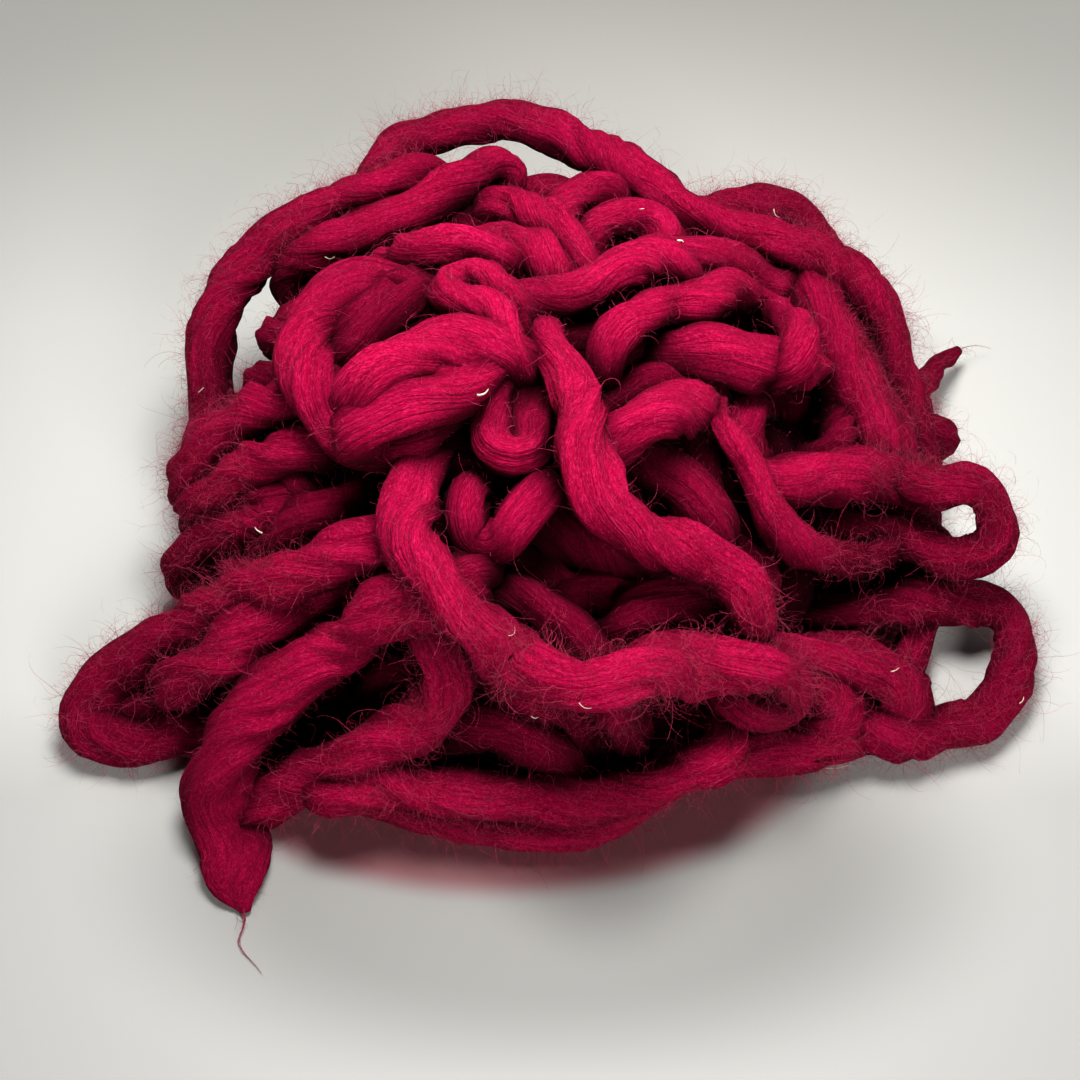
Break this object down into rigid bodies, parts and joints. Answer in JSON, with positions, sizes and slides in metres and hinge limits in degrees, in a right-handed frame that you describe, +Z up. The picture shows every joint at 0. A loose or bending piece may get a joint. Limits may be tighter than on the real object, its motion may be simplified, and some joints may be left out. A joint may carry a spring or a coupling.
{
  "type": "chunky wool yarn",
  "caption": "Loose heap of thick, softly spun crimson wool yarn, dropped in turns and loops with its two ends lying free, for knitting, weaving and craft scenes.",
  "frame": {"origin": "on the table, under the middle of the heap's box", "axes": "+Z up, +X to the right along the heap's longest side, +Y away from the free end in front"},
  "size_m": [0.2002, 0.1719, 0.082],
  "materials": {
    "wool": "matte wool with fine fuzz"
  },
  "bodies": {
    "root": {"yarn_heap": "wool", "loose_end_front": "wool", "loose_end_back": "wool"}
  },
  "joints": []
}
